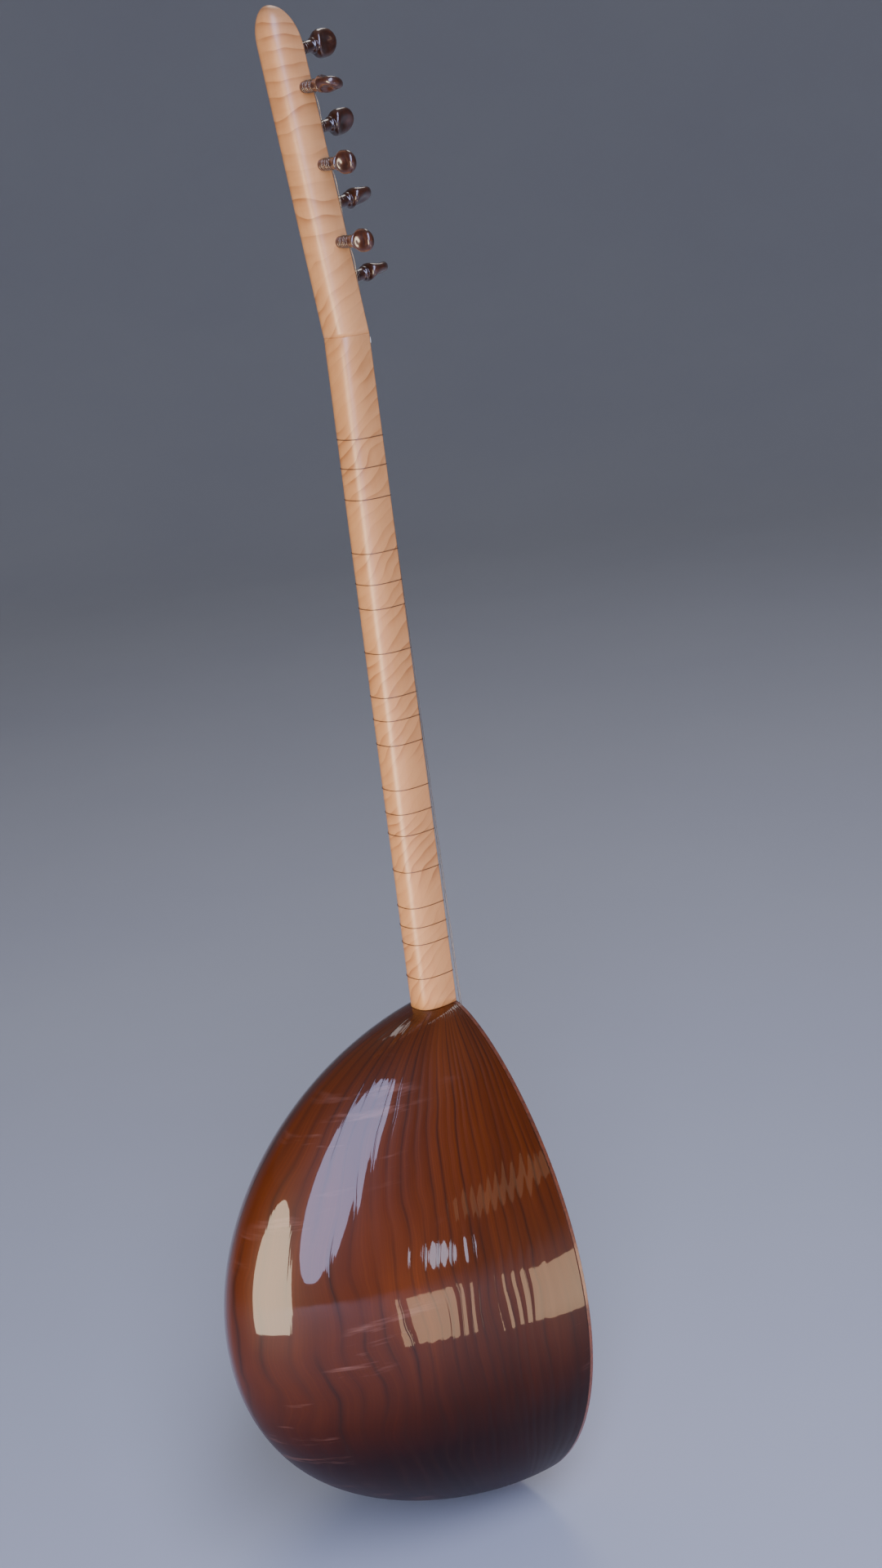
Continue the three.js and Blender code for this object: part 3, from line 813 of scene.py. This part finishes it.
def make_fret(number):
    """A cord tied round the neck, at the height of its CAD node."""
    low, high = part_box(f"fret_{number}")
    z = (low[2] + high[2]) / 2 / MM
    t = 1 - (BEND_Z - z) / NECK_L
    off = FRET_R + FRET_GAP
    ring = d_ring(mix(*NECK_W, t) / 2 + off, mix(*NECK_D, t) + 2 * off, 52, 1.3)
    line = [(x, y - off, z) for x, y in ring]
    obj = to_object(f"tied_fret_{number}", *sweep(line, FRET_R, 8, closed=True),
                    body=f"fret_{number}_unit")
    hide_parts(f"fret_{number}")
    dress(obj, MAT["nylon"])


for n in range(1, FRET_COUNT + 1):
    make_fret(n)


# ---------------------------------------------------------------- soundboard and small fittings
BINDING, BOARD_GAP, BOARD_ROWS = 1.4, 0.2, 180


def board_rows():
    """Heights along the bowl as parts of its length, closer together near both ends."""
    return [0.5 * (1 - math.cos(math.pi * mix(0.02, 1, i / BOARD_ROWS))) for i in range(BOARD_ROWS + 1)]


def board_piece(name, low, high, mat, node):
    """The part of the flat front between two x values; its outer edge is rounded over."""
    rings = []
    for v in board_rows():
        half = bowl_half(v) - BOARD_GAP - BINDING
        x0, x1 = max(low, -half), min(high, half)
        if x1 - x0 < 0.4:
            continue
        soft = min(0.7, 0.35 * (x1 - x0))
        e0 = soft if x0 > low else 0.05
        e1 = soft if x1 < high else 0.05
        ring = [(x0, BOARD_T), (x0, e0), (x0 + 0.3 * e0, 0.3 * e0), (x0 + e0, 0)]
        ring += [(x1 - e1, 0), (x1 - 0.3 * e1, 0.3 * e1), (x1, e1), (x1, BOARD_T)]
        rings.append([(x, y, TAIL_Z + v * BOWL_L) for x, y in ring])
    obj = to_object(name, *loft(rings), smooth_faces=False)
    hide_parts(node)
    dress(obj, MAT[mat])


def board_binding(name, side):
    """A dark strip let into the edge of the front, from the tail up to the neck."""
    rings = []
    for v in board_rows():
        outer = bowl_half(v) - BOARD_GAP
        inner = outer - BINDING + 0.04
        ring = [(inner, BOARD_T), (inner, 0.02), (outer - 0.5, 0.02)]
        ring += [(outer - 0.15, 0.17), (outer, 0.5), (outer, BOARD_T)]
        rings.append([(side * x, y, TAIL_Z + v * BOWL_L) for x, y in ring])
    dress(to_object(name, *loft(rings), smooth_faces=False), MAT["dark"])


def plate(name, outline, thickness, z, mat, node):
    """An outline in x and y, as thick along z as thickness(y) says."""
    rings = [[(x, y, z + side * thickness(y) / 2) for x, y in outline] for side in (-1, 1)]
    obj = to_object(name, *loft(rings), smooth_faces=False)
    bevel(obj, 0.22, 2, 40)
    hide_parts(node)
    dress(obj, MAT[mat])


def notched(half, top, lanes, depth, width=0.42):
    """Points along a top edge from -half to half, with a small round groove under each string."""
    pts = [(-half, -top)]
    for lane in sorted(lanes):
        for k in range(7):
            t = math.pi * k / 6
            pts.append((lane - width * math.cos(t), -top + depth * math.sin(t)))
    pts.append((half, -top))
    return pts


def bezier(a, b, c, steps=10):
    pts = []
    for k in range(steps + 1):
        t = k / steps
        parts = zip(a, b, c)
        pts.append(tuple((1 - t) ** 2 * p + 2 * t * (1 - t) * q + t * t * r for p, q, r in parts))
    return pts


# where the bridge's ends and its two arches start, and how high they reach
BRIDGE_END, BRIDGE_FOOT, BRIDGE_SHOULDER = 3.4, 0.3, 9
ARCH_FROM, ARCH_PEAK, ARCH_TO, ARCH_HEIGHT = 5, 14.5, 24, 7.5
BRIDGE_BASE_T, BRIDGE_TOP_T = 5.0, 1.8


def make_bridge():
    half, high, foot, arm = BRIDGE_W / 2, BRIDGE_H, BRIDGE_FOOT, BRIDGE_SHOULDER
    lanes = [p["lane"] * STRING_SPREAD for p in PEGS]
    outline = [(-half, -foot)]
    outline += bezier((-half, -BRIDGE_END), (-half + 2, -high), (-half + arm, -high))
    outline += notched(half - arm, high, lanes, 0.25)[1:-1]
    outline += bezier((half - arm, -high), (half - 2, -high), (half, -BRIDGE_END))
    outline += [(half, -foot)]
    outline += bezier((ARCH_TO, -foot), (ARCH_PEAK, -ARCH_HEIGHT), (ARCH_FROM, -foot), 12)
    outline += bezier((-ARCH_FROM, -foot), (-ARCH_PEAK, -ARCH_HEIGHT), (-ARCH_TO, -foot), 12)
    plate("bridge_carved", outline, lambda y: mix(BRIDGE_BASE_T, BRIDGE_TOP_T, -y / high), BRIDGE_Z,
          "bridge", "bridge")


def make_nut():
    half, foot = NUT["half"], NUT["foot"]
    edge = notched(half, NUT["top"], [p["lane"] for p in PEGS], 0.2)
    plate("nut_bone", edge + [(half, foot), (-half, foot)], lambda y: NUT["thick"], NUT_Z,
          "bone", "nut")


def make_saddle():
    half, middle = SADDLE["half"], (len(PEGS) - 1) / 2
    lanes = [(n - middle) * TAIL_STEP for n in range(len(PEGS))]
    edge = notched(half, SADDLE["top"], lanes, 0.2)
    thick = SADDLE["high"] - SADDLE["low"]
    plate("saddle_bar", edge + [(half, -0.3), (-half, -0.3)], lambda y: thick, SADDLE_Z,
          "dark", "tail_saddle")


board_piece("front_plank", -PLANK_W / 2 + 0.1, PLANK_W / 2 - 0.1, "spruce", "soundboard")
board_piece("front_wing_bass", -200.0, -PLANK_W / 2 - 0.1, "wing", "board_wing_bass")
board_piece("front_wing_treble", PLANK_W / 2 + 0.1, 200.0, "wing", "board_wing_treble")
board_binding("binding_bass", -1)
board_binding("binding_treble", 1)
make_bridge()
make_nut()
make_saddle()
for node, mat in (("brace_lower", "brace"), ("brace_upper", "brace"), ("string_holder", "dark")):
    dress_node(node, MAT[mat])
